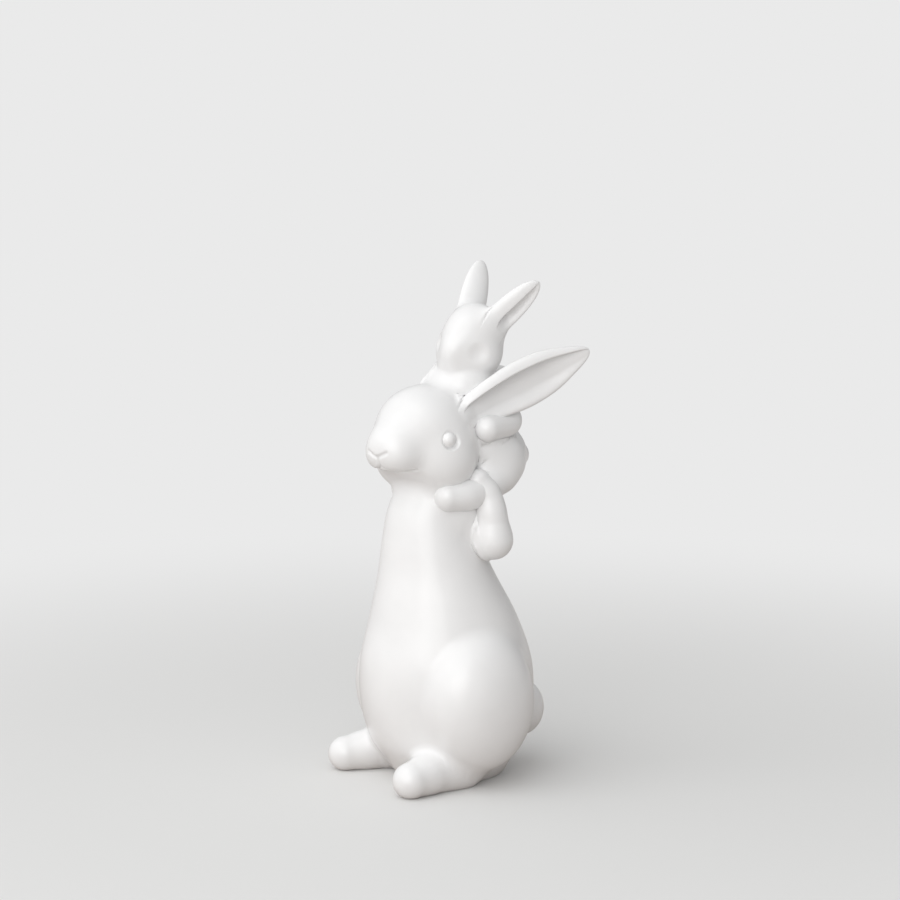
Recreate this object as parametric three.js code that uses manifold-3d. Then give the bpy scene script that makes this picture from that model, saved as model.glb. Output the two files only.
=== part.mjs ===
// Rabbit figurine: a mother rabbit sitting upright with a young rabbit riding behind her head.
// Millimetres. +Z is up, the figure faces -Y, and +X is the mother's left side.
// The origin is on the flat base, on the middle plane of the mother's body.
import * as THREE from "three";
import { mergeVertices } from "three/addons/utils/BufferGeometryUtils.js";
import Module from "manifold-3d";

const wasm = await Module();
wasm.setup();

// Fits and thicknesses
const CLEAR = 0.3;
const WALL = 4;
const VENT_DIAMETER = 11;
const VENT_Y = 11;

// Sizes that set the proportions; each stage stands on the one below it
const HIP_WIDTH = 77;
const NECK_TOP = 107.5;
const HEAD_Z = NECK_TOP + 14;
const BABY_RUMP_Z = HEAD_Z - 8;
const BABY_HEAD_Z = HEAD_Z + 34;

// Mother's body: one row per level, as height, middle in Y, and half width and half depth
// as shares of the hip width
const BODY_LEVELS = [
  [-5, 0, 0.156, 0.195],
  [0, 0, 0.235, 0.25],
  [5, -0.6, 0.31, 0.308],
  [14, -1.2, 0.37, 0.37],
  [28, -1.5, 0.4, 0.403],
  [42, -1.8, 0.39, 0.4],
  [58, -3, 0.338, 0.34],
  [73, -5.8, 0.273, 0.27],
  [NECK_TOP - 21.5, -8.2, 0.227, 0.221],
  [NECK_TOP - 10.5, -8.6, 0.195, 0.188],
  [NECK_TOP, -8, 0.169, 0.162],
].map(([z, middle, wide, deep]) => [z, middle, wide * HIP_WIDTH, deep * HIP_WIDTH]);
const HAUNCH_THICKNESS = 14;
const HAUNCH = {
  centre: [HIP_WIDTH / 2 - HAUNCH_THICKNESS, -2.8, 29],
  radii: [HAUNCH_THICKNESS, 20.3, 25.5],
};
const HAUNCH_BLEND = 4;

// Mother's head, drawn facing -Y about its own middle, then turned a little to her left and put
// in place: forms that run into each other over HEAD_BLEND
const SKULL = { centre: [0, 0, 0], radii: [18, 18.6, 19.4] };
const BROW = { centre: [0, -7, 6], radii: [11, 8.5, 8.5] };
const CHEEK = { centre: [9, -1, -7.5], radii: [10.5, 12, 10.5] };
const MUZZLE = { centre: [0, -14.7, -2.4], radii: [9.2, 9.4, 9] };
const LIP_PAD = { centre: [3.8, -18.4, -5.4], radii: [4.4, 4.6, 4.4] };
const CHIN = { centre: [0, -14.6, -10.8], radii: [4.4, 4.6, 3] };
const HEAD_BLEND = 6;
const HEAD_PLACE = { at: [0, -10, HEAD_Z], turn: [0, 0, 0.25] };
const EYE = { at: [17.2, -6.3, 1.8], radius: 3, sunk: 1.5, socket: 5.4, socketOut: 4.6 };
// Nose and mouth lines, as points that are dropped on to the skin of the head
const NOSE_LINE = [[3.6, -21, -1.9], [1.7, -22, -2.9], [0, -22, -3.6]];
const MOUTH_LINE = [[0, -22, -3.6], [0, -21, -6.2], [0, -20, -7.4]];
const MOUTH_CORNER = [[0, -20, -7.2], [3, -19, -8.6], [6, -16.5, -8.9], [8.5, -13.5, -8.4]];
const LINE_RADIUS = 0.5;

// Ears: root, tip, the side that the hollow opens to and how far across the leaf the hollow's
// upper edge lies. One row per station: share of the length, half width, half thickness and
// depth of the hollow
const EAR_LEFT = {
  root: [11, -1, HEAD_Z + 9.5],
  tip: [25, 42.5, HEAD_Z + 30.5],
  open: [0.96, -0.22, -0.17],
  edge: 0.65,
};
const EAR_RIGHT = {
  root: [-11, -1, HEAD_Z + 9.5],
  tip: [-20.5, 41.5, HEAD_Z + 18],
  open: [-0.96, -0.22, -0.17],
  edge: 0.65,
};
const EAR_STATIONS = [
  [-0.12, 4, 3.5, 0],
  [-0.02, 5.6, 3.8, 0.4],
  [0.08, 6.6, 3.7, 2.8],
  [0.25, 8, 3.6, 4.8],
  [0.45, 9.2, 3.5, 5],
  [0.65, 8.4, 3.1, 4.4],
  [0.85, 5.2, 2.1, 2.2],
  [0.97, 2.3, 1.1, 0.5],
  [1, 0, 0, 0],
];

// Mother's arms, feet and tail: runs of points with a radius at each
const UPPER_ARM = [
  [7.5, -1, NECK_TOP - 14, 5.5],
  [13.5, 3.5, NECK_TOP - 18.5, 5.6],
  [18.2, 6.2, NECK_TOP - 21, 5.8],
];
const FOREARM = [
  [18.5, 6.4, NECK_TOP - 21, 6.1],
  [18.2, 5.7, NECK_TOP - 12, 5.5],
  [17, 4.8, NECK_TOP - 5, 4.8],
  [15.2, 2, NECK_TOP, 4.2],
];
const FOOT = [
  [0.22 * HIP_WIDTH, -8, 7, 9],
  [0.26 * HIP_WIDTH, -22, 6.2, 7.2],
  [0.286 * HIP_WIDTH, -30.5, 5.8, 6.4],
];
const TAIL = { centre: [0, 0.39 * HIP_WIDTH, 19.5], radii: [9.5, 9, 10.5] };

// Young rabbit's body and legs
const BABY_RUMP = { centre: [0, 18.3, BABY_RUMP_Z], radii: [12.4, 12.2, 12.4] };
const BABY_CHEST = { centre: [0, 14, BABY_RUMP_Z + 17], radii: [10.2, 9.8, 14] };
const BABY_SHOULDERS = { centre: [0, 6.5, BABY_RUMP_Z + 29.5], radii: [10.5, 9, 8.5] };
const BABY_BREAST = { centre: [-1, 4, BABY_RUMP_Z + 25], radii: [12, 11.5, 7.5] };
const BABY_BODY_BLEND = 6;
const BABY_THIGH = { centre: [10.3, 13.5, BABY_RUMP_Z - 1.5], radii: [7, 10.5, 10], turn: [0.4, 0, 0] };
const BABY_LEG = [
  [11, 12.5, BABY_RUMP_Z - 6, 5.8],
  [13.2, 5, BABY_RUMP_Z - 9.5, 5.8],
  [14, -1.5, BABY_RUMP_Z - 11, 5.6],
  [13.2, -7.4, BABY_RUMP_Z - 11.4, 4.9],
];
const BABY_TAIL = { centre: [0, 28.5, BABY_RUMP_Z - 0.5], radii: [4.6, 4.6, 4.6] };

// Young rabbit's head, drawn facing -Y about its own middle, then turned and put in place
const BABY_SKULL = { centre: [0, 3, 1.8], radii: [10.2, 10.4, 10.2] };
const BABY_CHEEK = { centre: [5.2, -2.5, -3], radii: [7.6, 8, 7.4] };
const BABY_MUZZLE = { centre: [0, -9.6, -4.4], radii: [6, 5.6, 5.2] };
const BABY_BRIDGE = { centre: [0, -4, 2], radii: [4.6, 8, 6.4] };
const BABY_HEAD_BLEND = 6;
const BABY_HEAD_PLACE = { at: [1.5, 7.5, BABY_HEAD_Z], turn: [0.6, 0.2, 0.26] };
const BABY_EAR_LEFT = {
  root: [8, 12.5, BABY_HEAD_Z + 5.5],
  tip: [18, 25.5, BABY_HEAD_Z + 21],
  open: [0.96, -0.22, -0.17],
  edge: 0.15,
};
const BABY_EAR_RIGHT = {
  root: [-5.3, 11.5, BABY_HEAD_Z + 7],
  tip: [-11.5, 21, BABY_HEAD_Z + 27],
  open: [-0.9, 0.3, 0.2],
  edge: 0.4,
};
const BABY_EAR_STATIONS = [
  [-0.2, 4.6, 3.2, 0],
  [0.02, 5.2, 2.9, 0.6],
  [0.25, 5.3, 2.6, 3.2],
  [0.5, 5, 2.4, 3.5],
  [0.75, 4, 1.9, 2.5],
  [0.92, 2.4, 1.2, 0.7],
  [1, 0, 0, 0],
];

// Young rabbit's arms: the left one passes under the mother's ear, the right one lies on her head
const BABY_ARM_LEFT = [
  [5, 15, HEAD_Z + 15, 4],
  [10.5, 18.5, HEAD_Z + 5.5, 4.3],
  [14.5, 6.3, HEAD_Z + 4, 4.6],
];
const BABY_ARM_RIGHT = [
  [-6.5, 7, HEAD_Z + 26, 5],
  [-7.5, -1, HEAD_Z + 23, 5.4],
  [-8.5, -9, HEAD_Z + 17.5, 3.6],
];

// Fineness of the facets
const LIMB_SIDES = 12;
const LIMB_RINGS = 5;
const CAP_RINGS = 3;
const FAR = 60;

const V = (x, y, z) => new THREE.Vector3(x, y, z);
const mirrored = ([x, ...rest]) => [-x, ...rest];
const mirroredForm = (form) => ({ ...form, centre: mirrored(form.centre) });
const turned = (turn) => new THREE.Quaternion().setFromEuler(new THREE.Euler(...turn, "ZXY"));

// Fields: each takes a point and gives its distance from the surface, less than zero inside.
function ball({ centre, radii, turn = [0, 0, 0] }) {
  const middle = V(...centre);
  const back = turned(turn).invert();
  const [a, b, c] = radii;
  return (p) => {
    const q = p.clone().sub(middle).applyQuaternion(back);
    const near = Math.hypot(q.x / a, q.y / b, q.z / c);
    const slope = Math.hypot(q.x / (a * a), q.y / (b * b), q.z / (c * c));
    return slope < 1e-9 ? -Math.min(a, b, c) : (near * (near - 1)) / slope;
  };
}

// Fields that run into each other over a distance.
function blend(reach, ...fields) {
  return (p) => fields.map((field) => field(p)).reduce((sum, other) => {
    const h = Math.max(reach - Math.abs(sum - other), 0) / reach;
    return Math.min(sum, other) - (h * h * reach) / 4;
  });
}

// Rows of numbers read between stations with a smooth curve; the first column is the position.
// With a power of 2 the squares are read, so that a run down to nought ends round.
function between(rows, at, power = 1) {
  const last = rows.length - 1;
  const t = Math.min(Math.max(at, rows[0][0]), rows[last][0]);
  let i = 0;
  while (i < last - 1 && t > rows[i + 1][0]) i += 1;
  const span = rows[i + 1][0] - rows[i][0];
  const u = (t - rows[i][0]) / span;
  const slope = (k, column) => {
    const lo = Math.max(k - 1, 0);
    const hi = Math.min(k + 1, last);
    return (rows[hi][column] ** power - rows[lo][column] ** power) / (rows[hi][0] - rows[lo][0]);
  };
  return rows[i].map((_, column) => {
    const a = rows[i][column] ** power;
    const b = rows[i + 1][column] ** power;
    const rise = u * u * (3 - 2 * u);
    const bow = u * (1 - u) * ((1 - u) * slope(i, column) - u * slope(i + 1, column));
    const value = a + (b - a) * rise + bow * span;
    return power === 1 ? value : Math.max(value, 0) ** (1 / power);
  });
}

function solidOf(geometry) {
  geometry.deleteAttribute("normal");
  geometry.deleteAttribute("uv");
  const merged = mergeVertices(geometry, 1e-5);
  return new wasm.Manifold(new wasm.Mesh({
    numProp: 3,
    vertProperties: merged.attributes.position.array,
    triVerts: new Uint32Array(merged.index.array),
  }));
}

// A closed tube through rings of equal count, with a point at each end.
function closeRings(rings, first, last) {
  const around = rings[0].length;
  const points = [...rings.flat(), first, last];
  const index = [];
  for (let i = 0; i + 1 < rings.length; i += 1) {
    for (let j = 0; j < around; j += 1) {
      const a = i * around + j;
      const b = i * around + ((j + 1) % around);
      index.push(a, b, a + around, b, b + around, a + around);
    }
  }
  const top = (rings.length - 1) * around;
  for (let j = 0; j < around; j += 1) {
    const next = (j + 1) % around;
    index.push(next, j, points.length - 2);
    index.push(top + j, top + next, points.length - 1);
  }
  const geometry = new THREE.BufferGeometry().setFromPoints(points);
  geometry.setIndex(index);
  return solidOf(geometry);
}

// The distance along a ray at which a field reaches a level.
function reachOf(field, from, way, level) {
  let near = 0;
  let out = FAR;
  for (let step = 0; step < 26; step += 1) {
    const half = (near + out) / 2;
    if (field(from.clone().addScaledVector(way, half)) < level) near = half;
    else out = half;
  }
  return (near + out) / 2;
}

// A skin round a point, for a form that can be seen whole from its middle.
function skin(field, middle, level, columns, rows) {
  const geometry = new THREE.SphereGeometry(1, columns, rows).rotateX(Math.PI / 2);
  const at = geometry.attributes.position;
  const centre = V(...middle);
  for (let i = 0; i < at.count; i += 1) {
    const way = V(at.getX(i), at.getY(i), at.getZ(i)).normalize();
    const p = centre.clone().addScaledVector(way, reachOf(field, centre, way, level));
    at.setXYZ(i, p.x, p.y, p.z);
  }
  return solidOf(geometry);
}

// A limb: rings square to a smooth curve through the points, with rounded ends.
function limb(points, grow, around = LIMB_SIDES, rings = LIMB_RINGS) {
  const curve = new THREE.CatmullRomCurve3(points.map(([x, y, z]) => V(x, y, z)), false, "centripetal");
  const radiusAt = (u) => {
    const t = u * (points.length - 1);
    const i = Math.min(Math.floor(t), points.length - 2);
    const w = t - i;
    return points[i][3] + (points[i + 1][3] - points[i][3]) * w * w * (3 - 2 * w) + grow;
  };
  // Each station: place on the curve, step along it and share of the radius
  const caps = Array.from({ length: CAP_RINGS }, (_, k) => ((k + 1) / CAP_RINGS) * (Math.PI / 2));
  const stations = [
    ...caps.map((angle) => [0, -Math.cos(angle), Math.sin(angle)]),
    ...Array.from({ length: rings - 1 }, (_, k) => [(k + 1) / rings, 0, 1]),
    ...caps.toReversed().map((angle) => [1, Math.cos(angle), Math.sin(angle)]),
  ];
  const side = V(0, 0, 1);
  if (Math.abs(curve.getTangent(0).z) > 0.9) side.set(1, 0, 0);
  const rows = stations.map(([u, along, share]) => {
    const ahead = curve.getTangent(u);
    side.addScaledVector(ahead, -side.dot(ahead)).normalize();
    const third = ahead.clone().cross(side);
    const radius = radiusAt(u);
    const at = curve.getPoint(u).addScaledVector(ahead, along * radius);
    return Array.from({ length: around }, (_, j) => {
      const angle = (j / around) * 2 * Math.PI;
      return at.clone()
        .addScaledVector(side, Math.cos(angle) * radius * share)
        .addScaledVector(third, Math.sin(angle) * radius * share);
    });
  });
  const start = curve.getPoint(0).addScaledVector(curve.getTangent(0), -radiusAt(0));
  const end = curve.getPoint(1).addScaledVector(curve.getTangent(1), radiusAt(1));
  return closeRings(rows, start, end);
}

// Share of the hollow's depth at a place across the ear: a steep wall below the thick upper
// rim, deepest at its foot and running out towards the thin lower rim.
function pressed(across, edge) {
  const wall = Math.min(Math.max((edge - across) / 0.3, 0), 1);
  const ramp = Math.min(Math.max((across + 1) / 0.7, 0), 1);
  return wall ** 2 * (3 - 2 * wall) * ramp ** 2 * (3 - 2 * ramp) * (0.85 + 0.3 * across);
}

// An ear: a thick leaf with an oval section and a hollow pressed into its open side.
function ear({ root, tip, open, edge }, stations, grow, around = 18, rings = 12) {
  const from = V(...root);
  const axis = V(...tip).sub(from);
  const length = axis.length();
  axis.normalize();
  const out = V(...open).addScaledVector(axis, -V(...open).dot(axis)).normalize();
  const side = out.clone().cross(axis);
  const first = stations[0][0];
  const centreAt = (t) => from.clone().addScaledVector(axis, t * length);
  const rows = Array.from({ length: rings }, (_, k) => {
    const t = first + (1 - first) * (1 - (1 - (k + 0.3) / rings) ** 1.5);
    const [, width, thick] = between(stations, t, 2);
    const deep = between(stations, t)[3];
    return Array.from({ length: around }, (_, j) => {
      const turn = (j / around) * 2 * Math.PI;
      const across = Math.cos(turn);
      const rise = Math.sin(turn);
      const sunk = rise > 0.01 ? deep * pressed(across, edge) : 0;
      return centreAt(t)
        .addScaledVector(side, across * (width + grow))
        .addScaledVector(out, rise * (thick + grow) - sunk);
    });
  });
  return closeRings(rows, centreAt(first - grow / length), centreAt(1 + grow / length));
}

// Mother's body with its haunches: level rings whose radius is solved from the blended forms.
const bodyLevels = (p) => {
  const [, middle, a, b] = between(BODY_LEVELS, p.z);
  const out = Math.hypot(p.x, p.y - middle);
  const q = Math.hypot(p.x / a, (p.y - middle) / b);
  return q < 1e-9 ? -Math.min(a, b) : 0.96 * out * (1 - 1 / q);
};
const bodyField = blend(HAUNCH_BLEND, bodyLevels, ball(HAUNCH), ball(mirroredForm(HAUNCH)));

function bodySkin(grow, low, top, around, rings) {
  const axisAt = (z) => V(0, between(BODY_LEVELS, z)[1], z);
  const rows = Array.from({ length: rings + 1 }, (_, k) => {
    const axis = axisAt(low + (top - low) * (k / rings));
    return Array.from({ length: around }, (_, j) => {
      const angle = (j / around) * 2 * Math.PI;
      const way = V(Math.cos(angle), Math.sin(angle), 0);
      return axis.clone().addScaledVector(way, reachOf(bodyField, axis, way, grow));
    });
  });
  return closeRings(rows, axisAt(low), axisAt(top));
}

// The body is hollow, open at the neck, with a vent in the base.
function body(grow) {
  const outer = bodySkin(grow, -grow, NECK_TOP + grow, 40, 24);
  if (grow > 0) return outer;
  const inside = bodySkin(-WALL, WALL, NECK_TOP + 1, 20, 12);
  const bore = new THREE.CylinderGeometry(VENT_DIAMETER / 2, VENT_DIAMETER / 2, 3 * WALL, 24);
  return outer.subtract(inside).subtract(solidOf(bore.rotateX(Math.PI / 2).translate(0, VENT_Y, 0)));
}

// A field drawn about its own middle, turned and put in place.
function inPlace(field, { at, turn }) {
  const middle = V(...at);
  const back = turned(turn).invert();
  return (p) => field(p.clone().sub(middle).applyQuaternion(back));
}

const headField = inPlace(blend(
  HEAD_BLEND,
  ball(SKULL),
  ball(CHEEK),
  ball(mirroredForm(CHEEK)),
  ball(MUZZLE),
  ball(BROW),
  ball(LIP_PAD),
  ball(mirroredForm(LIP_PAD)),
  ball(CHIN),
), HEAD_PLACE);

// Where the line from the middle of the head through a point of its own leaves the skin.
function onHead(point, sunk = 0) {
  const middle = V(...HEAD_PLACE.at);
  const way = V(...point).applyQuaternion(turned(HEAD_PLACE.turn)).normalize();
  return middle.clone().addScaledVector(way, reachOf(headField, middle, way, -sunk));
}

function sphereAt(at, radius) {
  return solidOf(new THREE.SphereGeometry(radius, 14, 10).translate(at.x, at.y, at.z));
}

// The head is hollow, open where the neck comes in, with eyes in sockets and cut lines.
function head(grow) {
  let solid = skin(headField, HEAD_PLACE.at, grow, 34, 24);
  if (grow > 0) return solid;
  for (const at of [EYE.at, mirrored(EYE.at)]) {
    solid = solid.subtract(sphereAt(onHead(at, -EYE.socketOut), EYE.socket));
    solid = solid.add(sphereAt(onHead(at, EYE.sunk), EYE.radius));
  }
  const corners = [MOUTH_CORNER, MOUTH_CORNER.map(mirrored)];
  for (const line of [NOSE_LINE, NOSE_LINE.map(mirrored), MOUTH_LINE, ...corners]) {
    const path = line.map((point) => [...onHead(point).toArray(), LINE_RADIUS]);
    solid = solid.subtract(limb(path, 0, 6, 4));
  }
  return solid.subtract(skin(headField, HEAD_PLACE.at, -WALL, 18, 12));
}

const babyBodyField = blend(
  BABY_BODY_BLEND,
  ball(BABY_RUMP),
  ball(BABY_CHEST),
  ball(BABY_SHOULDERS),
  ball(BABY_BREAST),
);
const babyHeadField = inPlace(blend(
  BABY_HEAD_BLEND,
  ball(BABY_SKULL),
  ball(BABY_CHEEK),
  ball(mirroredForm(BABY_CHEEK)),
  ball(BABY_MUZZLE),
  ball(BABY_BRIDGE),
), BABY_HEAD_PLACE);

function babyLeg(thigh, leg, grow) {
  return limb(leg, grow).add(skin(ball(thigh), thigh.centre, grow, 12, 9));
}

// Each casting's own form, grown by an amount; a casting is trimmed to the ones before it.
const castings = [
  ["body", body],
  ["head", head],
  ["ear_left", (g) => ear(EAR_LEFT, EAR_STATIONS, g)],
  ["ear_right", (g) => ear(EAR_RIGHT, EAR_STATIONS, g)],
  ["arm_left", (g) => limb(UPPER_ARM, g).add(limb(FOREARM, g))],
  ["arm_right", (g) => limb(UPPER_ARM.map(mirrored), g).add(limb(FOREARM.map(mirrored), g))],
  ["foot_left", (g) => limb(FOOT, g)],
  ["foot_right", (g) => limb(FOOT.map(mirrored), g)],
  ["tail", (g) => skin(ball(TAIL), TAIL.centre, g, 16, 10)],
  ["baby_body", (g) => skin(babyBodyField, BABY_CHEST.centre, g, 20, 16)],
  ["baby_head", (g) => skin(babyHeadField, BABY_HEAD_PLACE.at, g, 24, 16)],
  ["baby_ear_left", (g) => ear(BABY_EAR_LEFT, BABY_EAR_STATIONS, g)],
  ["baby_ear_right", (g) => ear(BABY_EAR_RIGHT, BABY_EAR_STATIONS, g)],
  ["baby_arm_left", (g) => limb(BABY_ARM_LEFT, g)],
  ["baby_arm_right", (g) => limb(BABY_ARM_RIGHT, g)],
  ["baby_leg_left", (g) => babyLeg(BABY_THIGH, BABY_LEG, g)],
  ["baby_leg_right", (g) => babyLeg(mirroredForm(BABY_THIGH), BABY_LEG.map(mirrored), g)],
  ["baby_tail", (g) => skin(ball(BABY_TAIL), BABY_TAIL.centre, g, 12, 8)],
];

function meshOf(name, solid) {
  const { vertProperties, triVerts } = solid.getMesh();
  const geometry = new THREE.BufferGeometry();
  geometry.setAttribute("position", new THREE.BufferAttribute(vertProperties, 3));
  geometry.setIndex(new THREE.BufferAttribute(triVerts, 1));
  geometry.computeVertexNormals();
  const glaze = new THREE.MeshStandardMaterial({ color: 0xf0f0ee, roughness: 0.15 });
  const mesh = new THREE.Mesh(geometry, glaze);
  mesh.name = name;
  return mesh;
}

const group = new THREE.Group();
const placed = [];
for (const [name, make] of castings) {
  let solid = make(0).trimByPlane([0, 0, 1], 0);
  for (const earlier of placed) solid = solid.subtract(earlier);
  // A trim can leave a sliver on the far side of the piece: the largest body is the casting
  const [largest] = solid.decompose().sort((a, b) => b.volume() - a.volume());
  group.add(meshOf(name, largest));
  placed.push(make(CLEAR));
}

export default group;
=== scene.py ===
"""Rabbit figurine: a mother rabbit sitting upright with a young rabbit riding behind her head.

White glazed ceramic, slip cast in pieces, joined with slip and glazed as one. Sizes below are in
millimetres in the frame of the part: +Z up, the figure faces -Y, +X is the mother's left side, and
the origin is on the flat base. Every form is a surface of two parameters, worked out with numpy.
"""
import math

import bpy
import numpy as np
from mathutils import Matrix, Vector


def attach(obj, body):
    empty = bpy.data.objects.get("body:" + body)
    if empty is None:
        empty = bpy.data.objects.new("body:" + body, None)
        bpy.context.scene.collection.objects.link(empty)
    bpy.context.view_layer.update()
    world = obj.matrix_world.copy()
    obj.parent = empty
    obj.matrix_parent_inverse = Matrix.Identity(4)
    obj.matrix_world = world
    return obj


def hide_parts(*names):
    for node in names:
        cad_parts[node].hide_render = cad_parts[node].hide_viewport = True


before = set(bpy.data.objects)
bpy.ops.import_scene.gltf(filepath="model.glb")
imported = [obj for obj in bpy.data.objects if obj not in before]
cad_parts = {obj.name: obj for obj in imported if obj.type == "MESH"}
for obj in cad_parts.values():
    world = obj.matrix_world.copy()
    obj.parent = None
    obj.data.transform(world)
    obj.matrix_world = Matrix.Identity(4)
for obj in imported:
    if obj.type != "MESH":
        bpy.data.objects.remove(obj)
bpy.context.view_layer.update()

bl_info = {
    "name": "Rabbit Figurine",
    "version": (1, 0, 0),
    "blender": (4, 5, 0),
    "location": "3D View > Sidebar > Figurine",
    "description": "Builds a glazed ceramic mother rabbit with a young one on her back",
    "category": "Add Mesh",
}

# Sizes in millimetres, turns in radians

VENT_Y = 11
# How far below the table the base is drawn, before it is flattened onto it
BASE_SINK = 0.6

HIP_WIDTH = 77
NECK_TOP = 107.5
NECK_IN = 9
HEAD_Z = NECK_TOP + 14
BABY_RUMP_Z = HEAD_Z - 8
BABY_HEAD_Z = HEAD_Z + 34

# One row per level of the mother's body: height, middle in Y, half width and half depth as
# shares of the hip width
BODY_LEVELS = np.array([
    [-5, 0, 0.156, 0.195],
    [0, 0, 0.235, 0.25],
    [5, -0.8, 0.292, 0.29],
    [14, -1.4, 0.36, 0.36],
    [28, -1.5, 0.4, 0.403],
    [42, -1.8, 0.39, 0.4],
    [58, -3, 0.338, 0.34],
    [73, -5.8, 0.273, 0.27],
    [NECK_TOP - 21.5, -8.2, 0.227, 0.221],
    [NECK_TOP - 10.5, -8.7, 0.195, 0.188],
    [NECK_TOP, -6.4, 0.169, 0.146],
    [NECK_TOP + NECK_IN, -5, 0.12, 0.105],
]) * [1, 1, HIP_WIDTH, HIP_WIDTH]
HAUNCH_THICKNESS = 14
HAUNCH = {
    "centre": (HIP_WIDTH / 2 - HAUNCH_THICKNESS, -2.8, 30.2),
    "radii": (HAUNCH_THICKNESS, 20.3, 24.4),
}
# Fills the hollow between neck and upper arm
SHOULDER = {"centre": (8.6, -2.4, NECK_TOP - 12), "radii": (8.4, 8, 9)}
HAUNCH_BLEND = 4

SKULL = {"centre": (0, 0, 0), "radii": (18, 18.6, 19.4)}
BROW = {"centre": (0, -7, 6), "radii": (11, 8.5, 8.5)}
CHEEK = {"centre": (9, -0.6, -7.3), "radii": (10.5, 10.4, 10.3)}
MUZZLE = {"centre": (0, -15.6, -0.2), "radii": (9.2, 9.4, 8.4)}
LIP_PAD = {"centre": (3.8, -18, -4.4), "radii": (4.4, 4.6, 4)}
CHIN = {"centre": (0, -10.6, -9.4), "radii": (5.4, 4.6, 3)}
THROAT = {"centre": (0, -18.4, -18.4), "radii": (20, 10, 8)}
HEAD_BLEND = 6
# How softly the hollow of the throat is scooped out of the forms above
THROAT_BLEND = 4
HEAD_AT = (0, -10, HEAD_Z)
HEAD_TURN = (0, 0, 0.25)
# The mother's eyes: a bead sunk into the skin, and a groove in a ring round it, a little behind
EYE_AT = (17.2, -6.3, 1.8)
EYE_BEAD = {"radius": 2.75, "sunk": 1.7, "blend": 0.3}
EYE_RING = {"radius": 2.4, "groove": 1, "out": 0.1, "shift": (0, 0.5, -0.1), "blend": 0.5}
LINE_RADIUS = 0.4
LINE_BLEND = 0.8
NOSE_LINE = [(3.6, -21, -1.9), (1.7, -22, -2.9), (0, -22, -3.6)]
MOUTH_LINE = [(0, -22, -3.6), (0, -21, -6.2), (0.3, -20, -7.4)]
MOUTH_CORNER = [(0, -20, -6.6), (3, -19, -8), (6, -16.5, -8.2), (8.5, -13.5, -7.8)]

# Ears: root, tip, the side the hollow opens to and how far across the leaf its upper edge lies;
# stations give the share of the length, half width, half thickness and depth of the hollow
EAR_LEFT = ((11, -1, HEAD_Z + 9.5), (25, 42.5, HEAD_Z + 30.5), (0.96, -0.22, -0.17), 0.65)
EAR_RIGHT = ((-11, -1, HEAD_Z + 9.5), (-20.5, 41.5, HEAD_Z + 18), (-0.96, -0.22, -0.17), 0.65)
EAR_STATIONS = [
    (-0.12, 2.6, 3, 0),
    (-0.02, 4.4, 3.6, 0.4),
    (0.08, 6.2, 3.7, 3),
    (0.25, 8, 3.6, 5.4),
    (0.45, 9.2, 3.5, 5.7),
    (0.65, 8.4, 3.1, 5),
    (0.85, 5.2, 2.1, 2.2),
    (0.97, 2.3, 1.1, 0.5),
    (1, 0, 0, 0),
]

UPPER_ARM = [
    (7.5, -1, NECK_TOP - 14, 5.5),
    (13.5, 3.5, NECK_TOP - 18.5, 5.6),
    (18.2, 6.2, NECK_TOP - 21, 5.8),
]
FOREARM = [
    (18.5, 6.4, NECK_TOP - 21, 6.1),
    (18.2, 5.7, NECK_TOP - 12, 5.5),
    (17, 4.8, NECK_TOP - 5, 4.8),
    (15.2, 2, NECK_TOP, 4.2),
]
FOOT = [
    (0.22 * HIP_WIDTH, -8, 7.6, 10),
    (0.26 * HIP_WIDTH, -22, 6.5, 7.6),
    (0.286 * HIP_WIDTH, -30.5, 5.8, 6.4),
]
TAIL = {"centre": (0, 0.39 * HIP_WIDTH, 19.5), "radii": (9.5, 9, 10.5)}

BABY_RUMP = {"centre": (0, 18.3, BABY_RUMP_Z), "radii": (12.4, 12.2, 12.4)}
BABY_CHEST = {"centre": (0, 14, BABY_RUMP_Z + 17), "radii": (10.2, 9.8, 14)}
BABY_SHOULDERS = {"centre": (0, 6.5, BABY_RUMP_Z + 29.5), "radii": (10.5, 9, 8.5)}
BABY_BREAST = {"centre": (-1, 4, BABY_RUMP_Z + 25), "radii": (12, 11.5, 7.5)}
# Fills the hollow in front of the thigh
BABY_BELLY = {"centre": (9.4, 8.2, BABY_RUMP_Z + 4.5), "radii": (6, 7, 6.6)}
BABY_BODY_BLEND = 6
BABY_THIGH = {"centre": (10.3, 13.5, BABY_RUMP_Z - 1.5), "radii": (7, 10.5, 10), "turn": (0.4, 0, 0)}
BABY_LEG = [
    (11.5, 12.3, BABY_RUMP_Z - 6, 5.8),
    (14, 4.6, BABY_RUMP_Z - 9.3, 5.8),
    (15.2, -2.6, BABY_RUMP_Z - 10.7, 5.6),
    (14.2, -9.8, BABY_RUMP_Z - 11, 5.1),
]
BABY_TAIL = {"centre": (0, 28.5, BABY_RUMP_Z - 0.5), "radii": (4.6, 4.6, 4.6)}

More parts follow.
